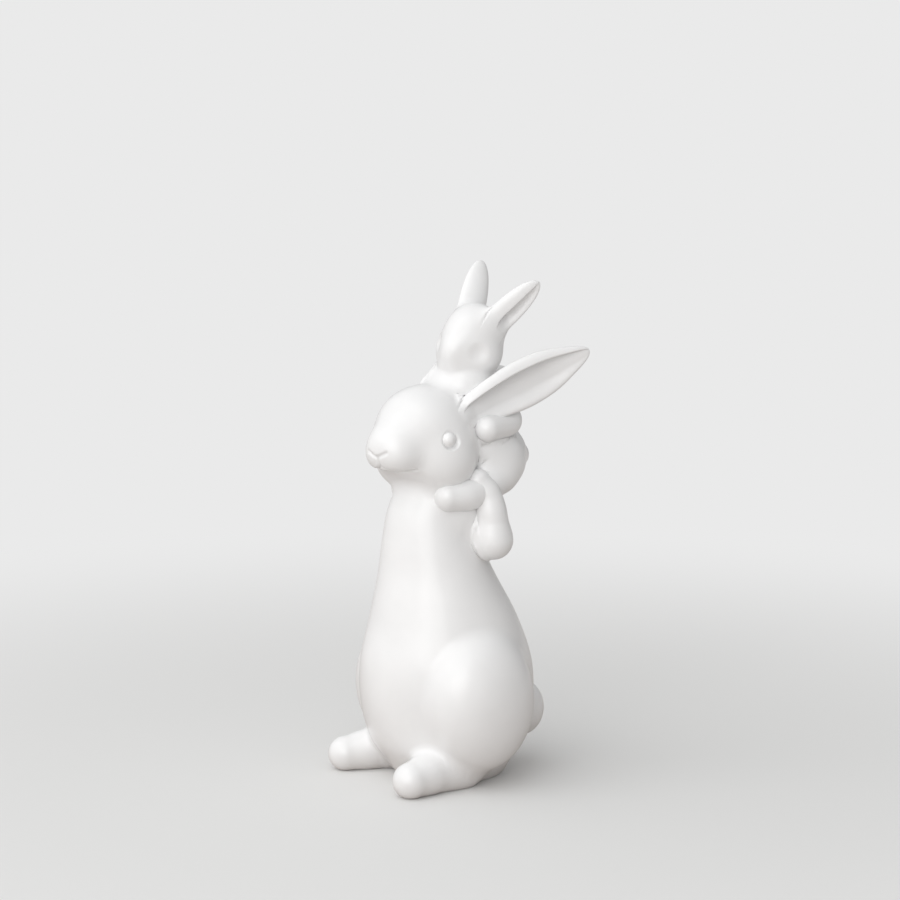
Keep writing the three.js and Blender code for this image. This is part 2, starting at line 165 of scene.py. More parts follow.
BABY_SKULL = {"centre": (0, 3, 1.6), "radii": (10, 10.4, 10)}
BABY_CHEEK = {"centre": (4.8, -2.5, -4), "radii": (7.6, 8, 7.4)}
BABY_MUZZLE = {"centre": (0, -11.4, -7.2), "radii": (6.8, 5.8, 6)}
BABY_BRIDGE = {"centre": (0, -4.5, 1.6), "radii": (4.8, 9, 6.6)}
BABY_HEAD_BLEND = 6
BABY_EYE_AT = (8.2, -6, 2.6)
BABY_EYE_DISH = {"radius": 4, "out": 3.6, "blend": 2}
BABY_HEAD_AT = (1.5, 7.5, BABY_HEAD_Z)
BABY_HEAD_TURN = (0.6, 0.2, 0.26)
BABY_EAR_LEFT = ((8, 12.5, BABY_HEAD_Z + 5.5), (18, 25.5, BABY_HEAD_Z + 21), (0.96, -0.22, -0.17), 0.15)
BABY_EAR_RIGHT = ((-5.3, 11.5, BABY_HEAD_Z + 7), (-11.5, 21, BABY_HEAD_Z + 27), (-0.9, 0.3, 0.2), 0.4)
BABY_EAR_STATIONS = [
    (-0.2, 4.6, 3.2, 0),
    (0.02, 5.2, 2.9, 0.6),
    (0.25, 5.3, 2.6, 3.8),
    (0.5, 5, 2.4, 3.9),
    (0.75, 4, 1.9, 2.5),
    (0.92, 2.4, 1.2, 0.7),
    (1, 0, 0, 0),
]
BABY_ARM_LEFT = [
    (5, 15, HEAD_Z + 15, 4),
    (10.5, 18.5, HEAD_Z + 5.5, 4.3),
    (14.5, 6.3, HEAD_Z + 4, 4.6),
]
BABY_ARM_RIGHT = [
    (-5.5, 9, HEAD_Z + 26, 5),
    (-5.6, 2.6, HEAD_Z + 22.5, 5.1),
    (-6.4, -4.4, HEAD_Z + 18, 3.6),
]

# The picture's view: degrees round from the front and up, the lens in millimetres, and in metres
# how far the camera stands back along its view and up across it from the origin
VIEW = {"azimuth": 57, "elevation": 8.15, "lens": 100, "back": 0.9025, "up": 0.11552}
# Direction in which the studio is brightest
LIGHT_SIDE = (-0.25, -0.8, 0.54)

# Fields: how far points lie from a form, less than 0 inside it


def turned(turn):
    """Rotation matrix of a turn about Y, then X, then Z, by the angles (x, y, z)."""
    (cx, cy, cz), (sx, sy, sz) = np.cos(turn), np.sin(turn)
    about_x = np.array([[1, 0, 0], [0, cx, -sx], [0, sx, cx]])
    about_y = np.array([[cy, 0, sy], [0, 1, 0], [-sy, 0, cy]])
    about_z = np.array([[cz, -sz, 0], [sz, cz, 0], [0, 0, 1]])
    return about_z @ about_x @ about_y


def mirrored(form):
    """The same ball, path or point on the other side of the middle plane, X = 0."""
    if isinstance(form, dict):
        return {**form, "centre": mirrored(form["centre"])}
    if isinstance(form, list):
        return [mirrored(point) for point in form]
    return (-form[0], *form[1:])


def ball(form):
    """Distance from an oval ball, nearly: with q the point over the radii, |q| (|q| - 1) divided
    by |q over the radii|, which is the first-order distance and is negative inside."""
    centre = np.array(form["centre"], float)
    radii = np.array(form["radii"], float)
    turn = turned(form.get("turn", (0, 0, 0)))

    def field(p):
        q = (p - centre) @ turn / radii
        near = np.linalg.norm(q, axis=-1)
        slope = np.linalg.norm(q / radii, axis=-1)
        return np.where(slope < 1e-6, -radii.min(), near * (near - 1) / np.maximum(slope, 1e-6))
    return field


def melt(a, b, reach):
    """Smooth least of two distances: the least of them less h squared times a quarter of the
    reach, where h falls from 1 where they are equal to 0 where they differ by the reach."""
    h = np.maximum(reach - np.abs(a - b), 0) / reach
    return np.minimum(a, b) - h * h * reach / 4


def carve(a, b, reach):
    """Smooth cut of b out of a: the smooth greatest of a and minus b."""
    return -melt(-a, b, reach)


def blend(reach, *fields):
    """Fields that run into each other over a distance."""
    def field(p):
        total = fields[0](p)
        for other in fields[1:]:
            total = melt(total, other(p), reach)
        return total
    return field


def in_place(field, at, turn):
    """A field drawn about its own middle, turned and put in place."""
    back, middle = turned(turn), np.array(at, float)
    return lambda p: field((p - middle) @ back)


def cone_gaps(ends, p):
    """Distances from each stretch of a chain of round cones: that to the nearest point of the
    stretch's straight line, less the radius there."""
    gaps = []
    for a, b in zip(ends[:-1], ends[1:]):
        way = b[:3] - a[:3]
        share = np.clip((p - a[:3]) @ way / (way @ way), 0, 1)
        gap = np.linalg.norm(p - a[:3] - share[..., None] * way, axis=-1)
        gaps.append(gap - a[3] - (b[3] - a[3]) * share)
    return gaps


def rod(points, radius):
    """Distance from a thin rod through points: its stretches melt over half the radius."""
    ends = np.array([(*point, radius) for point in points], float)

    def field(p):
        first, *others = cone_gaps(ends, p)
        for gap in others:
            first = melt(first, gap, radius / 2)
        return first
    return field


def between(rows, at, power=1):
    """Rows read between stations by cubics that share slopes at the stations; the first column
    is the position. With a power of 2 the squares are read, so a run down to 0 ends round."""
    rows = np.array(rows, float)
    x, v = rows[:, 0], rows ** power
    last = len(rows) - 1
    slope = np.array([(v[min(k + 1, last)] - v[max(k - 1, 0)])
                      / (x[min(k + 1, last)] - x[max(k - 1, 0)]) for k in range(last + 1)])
    t = np.clip(at, x[0], x[-1])
    i = np.clip(np.searchsorted(x, t, side="right") - 1, 0, last - 1)
    span = (x[i + 1] - x[i])[..., None]
    u = (t - x[i])[..., None] / span
    rise = u * u * (3 - 2 * u)
    bow = u * (1 - u) * ((1 - u) * slope[i] - u * slope[i + 1])
    value = v[i] + (v[i + 1] - v[i]) * rise + bow * span
    return value if power == 1 else np.maximum(value, 0) ** (1 / power)


def reach_of(field, start, way, far=60.0, steps=22):
    """How far along each ray the field is 0, by halving the interval again and again: all rays
    at once."""
    near = np.zeros(way.shape[:-1])
    out = np.full(way.shape[:-1], float(far))
    for _ in range(steps):
        half = (near + out) / 2
        inside = field(start + way * half[..., None]) < 0
        near = np.where(inside, half, near)
        out = np.where(inside, out, half)
    return (near + out) / 2


def body_levels(p):
    """Distance from the level ovals of the body: 0.96 times the distance from its upright middle
    line times (1 - 1/q), where q is that distance as a share of the oval's own."""
    rows = between(BODY_LEVELS, p[..., 2])
    x, y = p[..., 0], p[..., 1] - rows[..., 1]
    out = np.hypot(x, y)
    q = np.maximum(np.hypot(x / rows[..., 2], y / rows[..., 3]), 1e-6)
    return np.maximum(0.96 * out * (1 - 1 / q), -rows[..., 2:].min(axis=-1))


body_forms = blend(HAUNCH_BLEND, body_levels, ball(HAUNCH), ball(mirrored(HAUNCH)),
                   ball(SHOULDER), ball(mirrored(SHOULDER)))


def body_field(p):
    """The body's forms, cut off level where the neck ends inside the head."""
    return np.maximum(body_forms(p), p[..., 2] - NECK_TOP - NECK_IN)


head_forms = blend(
    HEAD_BLEND, ball(SKULL), ball(CHEEK), ball(mirrored(CHEEK)), ball(MUZZLE), ball(BROW),
    ball(LIP_PAD), ball(mirrored(LIP_PAD)), ball(CHIN),
)


def plain_head(p):
    """Mother's head before its eyes and lines: the forms with the throat scooped out."""
    return carve(head_forms(p), ball(THROAT)(p), THROAT_BLEND)


head_field = in_place(plain_head, HEAD_AT, HEAD_TURN)
baby_body_field = blend(
    BABY_BODY_BLEND, ball(BABY_RUMP), ball(BABY_CHEST), ball(BABY_SHOULDERS), ball(BABY_BREAST),
    ball(BABY_BELLY), ball(mirrored(BABY_BELLY)))
plain_baby_head = blend(
    BABY_HEAD_BLEND, ball(BABY_SKULL), ball(BABY_CHEEK), ball(mirrored(BABY_CHEEK)),
    ball(BABY_MUZZLE), ball(BABY_BRIDGE),
)
baby_head_field = in_place(plain_baby_head, BABY_HEAD_AT, BABY_HEAD_TURN)


def on_skin(field, point):
    """Where the ray from the field's own middle through a point leaves the skin."""
    way = np.array(point, float)
    way = way / np.linalg.norm(way)
    return way * reach_of(field, np.zeros(3), way[None])[0]


# Surfaces: grids of rings, and the meshes made of them


def resting(z, edge=0.0006):
    """Height flattened onto the table: 0 below minus the edge, unchanged above the edge, and
    between them the square of the height over minus the edge, divided by four edges."""
    bend = np.clip(z + edge, 0, 2 * edge) ** 2 / (4 * edge)
    return np.where(z < edge, bend, z)


def shell(name, grids):
    """One mesh of closed shells: each is rings of equal count with a point at each end, joined
    by quads round the rings and triangles to the ends, and turned so that its faces look out.
    Its shading follows the normals given; an end takes the mean of those next to it."""
    verts, loops, counts, facings, base = [], [], [], [], 0
    for rings, first, last, normals in grids:
        rows, around = rings.shape[:2]
        points = np.concatenate([rings.reshape(-1, 3), [first, last]]) / 1000
        points[:, 2] = resting(points[:, 2])
        a = (np.arange(rows - 1)[:, None] * around + np.arange(around)).ravel()
        b = (np.arange(rows - 1)[:, None] * around + (np.arange(around) + 1) % around).ravel()
        quads = np.stack([a, b, b + around, a + around], axis=1)
        j = np.arange(around)
        k = (j + 1) % around
        top = (rows - 1) * around
        ends = np.concatenate([
            np.stack([k, j, np.full(around, rows * around)], axis=1),
            np.stack([top + j, top + k, np.full(around, rows * around + 1)], axis=1),
        ])
        split = np.concatenate([quads[:, [0, 1, 2]], quads[:, [0, 2, 3]], ends])
        t = points[split]
        if np.einsum("ij,ij->i", t[:, 0], np.cross(t[:, 1], t[:, 2])).sum() < 0:
            quads, ends = quads[:, ::-1], ends[:, ::-1]
        verts.append(points)
        poles = [normals[0].mean(axis=0), normals[-1].mean(axis=0)]
        facings.append(np.concatenate([normals.reshape(-1, 3), poles]))
        loops.append(np.concatenate([quads.ravel(), ends.ravel()]) + base)
        counts.append(np.concatenate([np.full(len(quads), 4), np.full(len(ends), 3)]))
        base += len(points)
    verts, loops, counts = (np.concatenate(part) for part in (verts, loops, counts))
    mesh = bpy.data.meshes.new(name)
    mesh.vertices.add(len(verts))
    mesh.vertices.foreach_set("co", verts.astype(np.float32).ravel())
    mesh.loops.add(len(loops))
    mesh.loops.foreach_set("vertex_index", loops.astype(np.int32))
    mesh.polygons.add(len(counts))
    mesh.polygons.foreach_set("loop_start", (np.cumsum(counts) - counts).astype(np.int32))
    mesh.polygons.foreach_set("use_smooth", np.ones(len(counts), bool))
    mesh.update(calc_edges=True)
    mesh.validate()
    facings = np.concatenate(facings)
    facings /= np.maximum(np.linalg.norm(facings, axis=1, keepdims=True), 1e-12)
    mesh.normals_split_custom_set_from_vertices(facings)
    piece = bpy.data.objects.new(name, mesh)
    bpy.context.scene.collection.objects.link(piece)
    return piece


def round_grid(field, at, columns, rows, face=0.0, turn=(0, 0, 0)):
    """Rings round a form that can be seen whole from its middle. Directions are those of a globe
    with its axis along Z, drawn closer together towards -Y by the share face, then turned; each
    goes out to where the field is 0."""
    u = np.arange(columns) / columns * 2 * np.pi
    u = u + face * np.sin(u)
    v = (np.pi * (np.arange(rows) + 1) / (rows + 1))[:, None]
    way = np.stack([np.sin(v) * np.sin(u), np.sin(v) * np.cos(u), -np.cos(v) + 0 * u], axis=-1)
    ends = np.array([[0, 0, -1.0], [0, 0, 1.0]])
    middle, out = np.array(at, float), turned(turn)
    grid, poles = (middle + rays * reach_of(field, middle, rays)[..., None]
                   for rays in (way @ out.T, ends @ out.T))
    return grid, poles[0], poles[1]


def path_at(points, u):
    """A smooth curve through points and its direction: between each pair a cubic whose end
    slopes come from the neighbours, weighted by the square roots of the gaps between them."""
    p = np.array(points, float)[:, :3]
    p = np.concatenate([[2 * p[0] - p[1]], p, [2 * p[-1] - p[-2]]])
    gap = np.linalg.norm(np.diff(p, axis=0), axis=1) ** 0.5
    t = np.clip(u, 0, 1) * (len(points) - 1)
    i = np.minimum(t.astype(int), len(points) - 2)
    w = (t - i)[:, None]
    a, b, c, d = p[i], p[i + 1], p[i + 2], p[i + 3]
    ga, gb, gc = (gap[i + k][:, None] for k in range(3))
    start = ((b - a) / ga - (c - a) / (ga + gb) + (c - b) / gb) * gb
    end = ((c - b) / gb - (d - b) / (gb + gc) + (d - c) / gc) * gb
    two, three = 3 * (c - b) - 2 * start - end, 2 * (b - c) + start + end
    at = b + start * w + two * w ** 2 + three * w ** 3
    way = start + 2 * two * w + 3 * three * w ** 2
    return at, way / np.linalg.norm(way, axis=1, keepdims=True)


def radius_at(points, u):
    """Radius along a limb: between each two of its points it eases from one to the next."""
    radii = np.array(points, float)[:, 3]
    t = np.clip(u, 0, 1) * (len(radii) - 1)
    i = np.minimum(t.astype(int), len(radii) - 2)
    w = t - i
    return radii[i] + (radii[i + 1] - radii[i]) * w * w * (3 - 2 * w)


def limb(points, columns=96, rows=110):
    """A limb: rings square to a smooth curve through the points, with the radius read smoothly
    between them and half balls at the ends. Returns the grid and its two end points."""
    radii = np.array(points, float)[:, 3]
    length = np.linalg.norm(np.diff(np.array(points, float)[:, :3], axis=0), axis=1).sum()
    total = length + 1.57 * (radii[0] + radii[-1])
    s = (np.arange(rows) + 0.5) / rows * total
    first = 1.57 * radii[0]
    u = np.clip((s - first) / length, 0, 1)
    angle = np.where(s < first, (s - first) / radii[0], 0)
    angle = np.where(s > first + length, (s - first - length) / radii[-1], angle)
    centre, ahead = path_at(points, u)
    side = np.array([1.0, 0, 0]) if abs(ahead[0, 2]) > 0.9 else np.array([0, 0, 1.0])
    side = side - ahead * (ahead @ side)[:, None]
    side /= np.linalg.norm(side, axis=1, keepdims=True)
    third = np.cross(ahead, side)
    v = (np.arange(columns) / columns * 2 * np.pi)[None, :, None]
    ring = np.cos(v) * side[:, None] + np.sin(v) * third[:, None]
    lean = angle[:, None, None]
    n = ring * np.cos(lean) + ahead[:, None] * np.sin(lean)
    grid = centre[:, None] + n * radius_at(points, u)[:, None, None]
    return grid, centre[0] - ahead[0] * radii[0], centre[-1] + ahead[-1] * radii[-1]


def thick_path(points, count=13):
    """Distance from a limb: the least of those from round cones along its smooth curve."""
    u = np.arange(count) / (count - 1)
    ends = np.concatenate([path_at(points, u)[0], radius_at(points, u)[:, None]], axis=1)
    return lambda p: np.min(cone_gaps(ends, p), axis=0)


def ear_frame(ear):
    """Root, length, direction along, out through the open side and across of an ear."""
    root, tip, opening = (np.array(part, float) for part in ear[:3])
    length = np.linalg.norm(tip - root)
    axis = (tip - root) / length
    out = opening - axis * (opening @ axis)
    out /= np.linalg.norm(out)
    return root, length, axis, out, np.cross(out, axis)


def pressed(across, edge):
    """Share of the hollow's depth at a place across the ear: it rises over a steep wall from the
    thick rim at the edge, is greatest there and runs out towards the thin rim."""
    wall = np.clip((edge - across) / 0.22, 0, 1)
    ramp = np.clip((across + 1) / 0.7, 0, 1)
    return wall * wall * (3 - 2 * wall) * ramp * ramp * (3 - 2 * ramp) * (0.85 + 0.3 * across)


def leaf(ear, stations, columns=120, rows=150):
    """An ear: its section is an oval, half width times the cosine and half thickness times the
    sine, and on the open side the hollow is pressed in."""
    root, length, axis, out, side = ear_frame(ear)
    first = stations[0][0]
    share = (np.arange(rows) + 0.5) / rows
    t = first + (1 - first) * (1 - (1 - share) ** 1.5)
    size = between(stations, t, 2)
    wide, thick = size[:, 1][:, None, None], size[:, 2][:, None, None]
    deep = between(stations, t)[:, 3][:, None, None]
    angle = (np.arange(columns) / columns * 2 * np.pi)[None, :, None]
    angle = angle + 0.25 * np.sin(2 * angle)
    across = np.cos(angle)
    lift = np.sin(angle) * thick - np.where(np.sin(angle) > 0, deep * pressed(across, ear[3]), 0)
    grid = (root + axis * (t * length)[:, None])[:, None] + side * across * wide + out * lift
    return grid, root + axis * first * length, root + axis * length


def leaf_field(ear, stations):
    """Distance from an ear, nearly: the greatest of the first-order distance from the oval of
    its section and 0.7 times the height above its open side."""
    root, length, axis, out, side = ear_frame(ear)
    first = stations[0][0]

    def field(p):
        q = p - root
        t = q @ axis / length
        size = np.maximum(between(stations, np.clip(t, first, 0.98), 2), 0.5)
        deep = between(stations, t)[..., 3]
        x, y = q @ side, q @ out
        near = np.hypot(x / size[..., 1], y / size[..., 2])
        slope = np.maximum(np.hypot(x / size[..., 1] ** 2, y / size[..., 2] ** 2), 1e-3)
        oval = np.maximum(near * (near - 1) / slope, -size[..., 2])
        across = np.clip(x / size[..., 1], -1, 1)
        top = size[..., 2] * np.sqrt(1 - across * across) - deep * pressed(across, ear[3])
        return np.maximum(np.maximum(oval, 0.7 * (y - top)), (first - t) * length)
    return field


def both_sides(*forms):
    """Forms as given and the same forms mirrored, each set after the ending of its names."""
    return (("_left", *forms), ("_right", *(mirrored(form) for form in forms)))


FORMS = {
    "body": body_field,
    "head": head_field,
    "ear_left": leaf_field(EAR_LEFT, EAR_STATIONS),
    "ear_right": leaf_field(EAR_RIGHT, EAR_STATIONS),
    "tail": ball(TAIL),
    "young_body": baby_body_field,
    "young_head": baby_head_field,
    "young_ear_left": leaf_field(BABY_EAR_LEFT, BABY_EAR_STATIONS),
    "young_ear_right": leaf_field(BABY_EAR_RIGHT, BABY_EAR_STATIONS),
    "young_arm_left": thick_path(BABY_ARM_LEFT),
    "young_arm_right": thick_path(BABY_ARM_RIGHT),
    "young_tail": ball(BABY_TAIL),
}
for ending, thigh in both_sides(BABY_THIGH):
    FORMS["thigh" + ending] = ball(thigh)
LIMBS = {"upper_arm": UPPER_ARM, "forearm": FOREARM, "foot": FOOT, "leg": BABY_LEG}
for part, points in LIMBS.items():
    for ending, path in both_sides(points):
        FORMS[part + ending] = thick_path(path)

# Over how many millimetres the glaze and slip round the joint of two pieces; the other pieces
# meet in a plain crease
REACHES = {
    ("head", "body"): 4, ("tail", "body"): 3, ("young_body", "head"): 4,
    ("young_head", "young_body"): 1, ("young_tail", "young_body"): 2,
}
for ending in ("_left", "_right"):
    REACHES.update({
        ("foot" + ending, "body"): 4,
        ("upper_arm" + ending, "body"): 4,
        ("forearm" + ending, "upper_arm" + ending): 4,
        ("ear" + ending, "head"): 3,
        ("young_ear" + ending, "young_head"): 4,
        ("young_arm" + ending, "young_body"): 2,
        ("thigh" + ending, "young_body"): 4,
        ("leg" + ending, "thigh" + ending): 4,
    })


# How far each skin stands proud on its own side of a fillet, the share of its depth inside
# another piece that a point keeps, the step that slopes are read over, and the most steps walked
PROUD = 0.01
KEPT_DEPTH = 0.7
SLOPE_STEP = 0.01
WALK_STEPS = 22


def reach_between(a, b):
    """How far the joint of two pieces is rounded; 0 is a crease."""
    return REACHES.get((a, b), REACHES.get((b, a), 0))


def facing(grid):
    """Normals of a grid of rings: the cross product of the steps round and along it, turned so
    that they point away from its middle."""
    along = np.gradient(grid, axis=0)
    around = np.roll(grid, -1, axis=1) - np.roll(grid, 1, axis=1)
    n = np.cross(around, along)
    n /= np.maximum(np.linalg.norm(n, axis=-1, keepdims=True), 1e-12)
    out = grid - grid.mean(axis=(0, 1))
    return n if (n * out).sum() > 0 else -n


def settle(name, grid, first, last):
    """A piece's grid with a soft glaze fillet at each of its joints, and its normals. The level
    is the least distance from any piece that meets there, less h squared times a quarter of the
    reach for each pair of them; h falls from 1 where the two are equally far and nearest of all
    to 0 where their distances, and twice how far they fall behind the nearest, differ by the
    reach. Each point near a joint walks up or down the slope of the level, in short steps, until
    that is 0, or less by 0.7 of how far it lay inside another piece beyond a third of the reach.
    Each piece stands a hundredth proud on its own side of a fillet and as much below on the
    other, so that the two skins cross once, in line. A piece's own distance is counted from where
    each point starts. Normals follow the slope where a point has moved."""
    start = grid.reshape(-1, 3)
    gaps = {name: FORMS[name](start)}
    for member, field in FORMS.items():
        if not reach_between(name, member) or field(start[::41]).min() > 8:
            continue
        gap = field(start)
        if gap.min() < 1.4 * reach_between(name, member):
            gaps[member] = gap
    members = list(gaps)
    pairs = [(i, j, reach_between(members[i], members[j]))
             for j in range(len(members)) for i in range(j)
             if reach_between(members[i], members[j])]
    limit, goal = np.zeros(len(start)), np.zeros(len(start))
    for member in members[1:]:
        reach = reach_between(name, member)
        limit = np.maximum(limit, np.where(gaps[member] < max(1.05 * reach, 2), 2 * reach, 0))
        goal = np.minimum(goal, KEPT_DEPTH * (gaps[member] + 0.35 * reach))
    near = limit > 0
    normals = facing(grid)
    if not near.any():
        return grid, first, last, normals
    home, limit, goal, zero = start[near], limit[near], goal[near], gaps[name][near]
    meets = [gaps[member][near] < 1.7 * limit for member in members]

    def level(q, at):
        """The level at places q of the points whose numbers are at."""
        gaps = []
        for k, member in enumerate(members):
            here = meets[k][at]
            gap = np.full(len(q), 1e3)
            gap[here] = FORMS[member](q[here])
            gaps.append(gap)
        gaps[0] = gaps[0] - zero[at]
        nearest = np.min(gaps, axis=0)
        total = nearest.copy()
        for i, j, reach in pairs:
            low = np.minimum(gaps[i], gaps[j])
            h = reach - np.abs(gaps[i] - gaps[j]) - 2 * (low - nearest)
            total -= np.maximum(h, 0) ** 2 / (4 * reach)
            if i == 0:
                fade = np.clip((1.05 * reach - gaps[j]) / (0.3 * reach), 0, 1)
                total -= PROUD * fade * np.clip((gaps[j] - gaps[0]) / (0.5 * reach), -1, 1)
        return total - goal[at]

    def slope_of(q, at, f):
        """Slope of the level: how it differs from f a small step along each axis."""
        return np.stack([(level(q + SLOPE_STEP * axis, at) - f) / SLOPE_STEP
                         for axis in np.eye(3)], axis=-1)

    p = home.copy()
    at = np.arange(len(home))
    for _ in range(WALK_STEPS):
        f = level(p[at], at)
        at, f = at[np.abs(f) > 0.001], f[np.abs(f) > 0.001]
        slope = slope_of(p[at], at, f)
        size = (slope * slope).sum(axis=-1)
        move = slope * (f / np.maximum(size, 0.03))[:, None]
        size = np.linalg.norm(move, axis=-1)
        move *= np.minimum(1, limit[at] / 8 / np.maximum(size, 1e-9))[:, None]
        way = p[at] - move - home[at]
        far = np.linalg.norm(way, axis=-1)
        p[at] = home[at] + way * np.minimum(1, limit[at] / np.maximum(far, 1e-9))[:, None]
    at = np.arange(len(home))
    slope = slope_of(p, at, level(p, at))
    moved = np.clip(np.linalg.norm(p - home, axis=-1) / 0.1, 0, 1)[:, None]
    slope /= np.maximum(np.linalg.norm(slope, axis=-1, keepdims=True), 1e-9)
    out, n = start.copy(), normals.reshape(-1, 3)
    out[near] = p
    n[near] = n[near] * (1 - moved) + slope * moved
    return out.reshape(grid.shape), first, last, n.reshape(grid.shape)


# Materials: how many clouds, ripples and grains of a pattern there are in a metre. Clouds are about
# 22 mm across and ripples 4 mm; grog is finer than the 0.7 mm that it is drawn with, to show
CLOUDS = 45.0
RIPPLES = 260.0
GRAINS = 1400.0


def linear(code):
    """sRGB hex to linear colour: the lower stretch divided by 12.92, the rest by the 2.4 power."""
    s = np.array([int(code[i:i + 2], 16) for i in (1, 3, 5)]) / 255
    rgb = np.where(s <= 0.04045, s / 12.92, ((s + 0.055) / 1.055) ** 2.4)
    return (*(float(c) for c in rgb), 1.0)


def node(tree, kind, settings=None, links=None):
    """Adds a node: settings are its own properties, or sockets by name or number; links join
    sockets of other nodes to its inputs by name or number."""
    made = tree.nodes.new(kind)
    for key, value in (settings or {}).items():
        if isinstance(key, str) and hasattr(made, key):
            setattr(made, key, value)
        else:
            made.inputs[key].default_value = value
    for key, source in (links or {}).items():
        tree.links.new(source, made.inputs[key])
    return made


def new_material(name, settings):
    """A material with these sockets of its shader set, its node tree and its shader."""
    material = bpy.data.materials.new(name)
    material.use_nodes = True
    shader = material.node_tree.nodes["Principled BSDF"]
    for key, value in settings.items():
        shader.inputs[key].default_value = value
    return material, material.node_tree, shader


def glazed_earthenware(colour, roughness):
    """Glazed earthenware: slip cast, dipped in clear glaze over a white body and fired. A glassy
    coat with a very fine ripple over a white that varies faintly in broad clouds. In hollows the
    white is painted greyer: painted shade, with a little glaze pooling there too."""
    material, tree, shader = new_material("glazed_earthenware", {
        "Roughness": roughness, "IOR": 1.5, "Coat Weight": 0.5, "Coat Roughness": 0.14})
    where = node(tree, "ShaderNodeTexCoord").outputs["Object"]
    clouds = node(tree, "ShaderNodeTexNoise", {"Scale": CLOUDS, "Detail": 3.0}, {"Vector": where})
    ramp = node(tree, "ShaderNodeValToRGB", {}, {"Fac": clouds.outputs["Fac"]})
    ramp.color_ramp.elements[0].position = 0.3
    ramp.color_ramp.elements[0].color = linear("#ECECEC")
    ramp.color_ramp.elements[1].position = 0.7
    ramp.color_ramp.elements[1].color = (*colour, 1)
    # Pointiness is 0.5 where the skin is flat and less in a hollow; from it the hollows get painted
    # shade, a greyer white
    bend = node(tree, "ShaderNodeNewGeometry")
    hollow_shade = node(tree, "ShaderNodeMapRange", {
        "From Min": 0.5, "From Max": 0.42, "To Min": 0.0, "To Max": 0.2,
    }, {"Value": bend.outputs["Pointiness"]})
    painted_shade_tint = node(tree, "ShaderNodeMix", {"data_type": "RGBA", 7: linear("#CFD0CE")},
                {0: hollow_shade.outputs["Result"], 6: ramp.outputs["Color"]})
    tree.links.new(painted_shade_tint.outputs[2], shader.inputs["Base Color"])
    ripple = node(tree, "ShaderNodeTexNoise", {"Scale": RIPPLES, "Detail": 2.0}, {"Vector": where})
    bump = node(tree, "ShaderNodeBump", {"Strength": 0.03, "Distance": 0.0004},
                {"Height": ripple.outputs["Fac"]})
    tree.links.new(bump.outputs["Normal"], shader.inputs["Normal"])
    return material


def bare_clay():
    """White earthenware left bare where the piece stood in the kiln, wiped with a wet sponge:
    dull and chalky, a little warmer than the glaze, with a fine, speckled grain of grog."""
    material, tree, shader = new_material("bare_white_clay", {"Roughness": 0.9})
    where = node(tree, "ShaderNodeTexCoord").outputs["Object"]
    grain = node(tree, "ShaderNodeTexNoise", {"Scale": GRAINS, "Detail": 4.0}, {"Vector": where})
    ramp = node(tree, "ShaderNodeValToRGB", {}, {"Fac": grain.outputs["Fac"]})
    ramp.color_ramp.elements[0].position = 0.35
    ramp.color_ramp.elements[0].color = linear("#D2CABC")
    ramp.color_ramp.elements[1].position = 0.6
    ramp.color_ramp.elements[1].color = linear("#E4DED2")
    tree.links.new(ramp.outputs["Color"], shader.inputs["Base Color"])
    bump = node(tree, "ShaderNodeBump", {"Strength": 0.3, "Distance": 0.0002},
                {"Height": grain.outputs["Fac"]})
    tree.links.new(bump.outputs["Normal"], shader.inputs["Normal"])
    return material


def matt_paper(background):
    """Matt paper for the floor: rough and even, so that it keeps the soft shadow, and further out
    it fades to the plain background. Other rays than the camera's meet a darker, warmer tone and
    less of the background, so that it throws less light up at the glaze."""
    material, tree, shader = new_material("matt_paper", {"Roughness": 0.9})
    ray = node(tree, "ShaderNodeLightPath").outputs["Is Camera Ray"]
    tone = node(tree, "ShaderNodeMix", {
        "data_type": "RGBA", 6: linear("#C2BBB6"), 7: linear("#E4E4E3")}, {0: ray})
    tree.links.new(tone.outputs[2], shader.inputs["Base Color"])
    where = node(tree, "ShaderNodeTexCoord").outputs["Object"]
    far = node(tree, "ShaderNodeVectorMath", {"operation": "LENGTH"}, {"Vector": where})
    fade = node(tree, "ShaderNodeMapRange", {
        "interpolation_type": "SMOOTHSTEP", "From Min": 0.12, "From Max": 0.5,
    }, {"Value": far.outputs["Value"]})
    plain = node(tree, "ShaderNodeEmission", {"Color": background, "Strength": 1.0})
    half = node(tree, "ShaderNodeMapRange", {"To Min": 0.45, "To Max": 1.0}, {"Value": ray})
    seen = node(tree, "ShaderNodeMath", {"operation": "MULTIPLY"},
                {0: fade.outputs["Result"], 1: half.outputs["Result"]})
    mix = node(tree, "ShaderNodeMixShader", {}, {
        0: seen.outputs["Value"], 1: shader.outputs["BSDF"], 2: plain.outputs["Emission"]})
    tree.links.new(mix.outputs["Shader"], tree.nodes["Material Output"].inputs["Surface"])
    return material


MATERIALS = {}


def finish_piece(piece, *nodes):
    """Gives a finished piece its glaze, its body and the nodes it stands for."""
    sizes = bpy.context.scene.figurine_glaze
    if "glaze" not in MATERIALS:
        MATERIALS["glaze"] = glazed_earthenware(sizes.colour, sizes.roughness)
    piece.data.materials.append(MATERIALS["glaze"])
    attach(piece, "root")
    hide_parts(*nodes)


# The add-on: its settings, one operator for each piece or group of pieces, and its panel


class FIGURINE_casting(bpy.types.PropertyGroup):
    wall: bpy.props.FloatProperty(
        name="Wall", description="Thickness of the cast wall", default=0.004, min=0.002,
        max=0.008, subtype="DISTANCE", unit="LENGTH")
    vent: bpy.props.FloatProperty(
        name="Vent", description="Diameter of the vent hole in the base", default=0.011,
        min=0.004, max=0.02, subtype="DISTANCE", unit="LENGTH")


class FIGURINE_glaze(bpy.types.PropertyGroup):
    colour: bpy.props.FloatVectorProperty(
        name="Glaze colour", description="Colour of the glaze", default=linear("#F2F2F2")[:3],
        min=0, max=1, subtype="COLOR")
    roughness: bpy.props.FloatProperty(
        name="Roughness", description="How dull the glaze is", default=0.38, min=0, max=1,
        subtype="FACTOR")


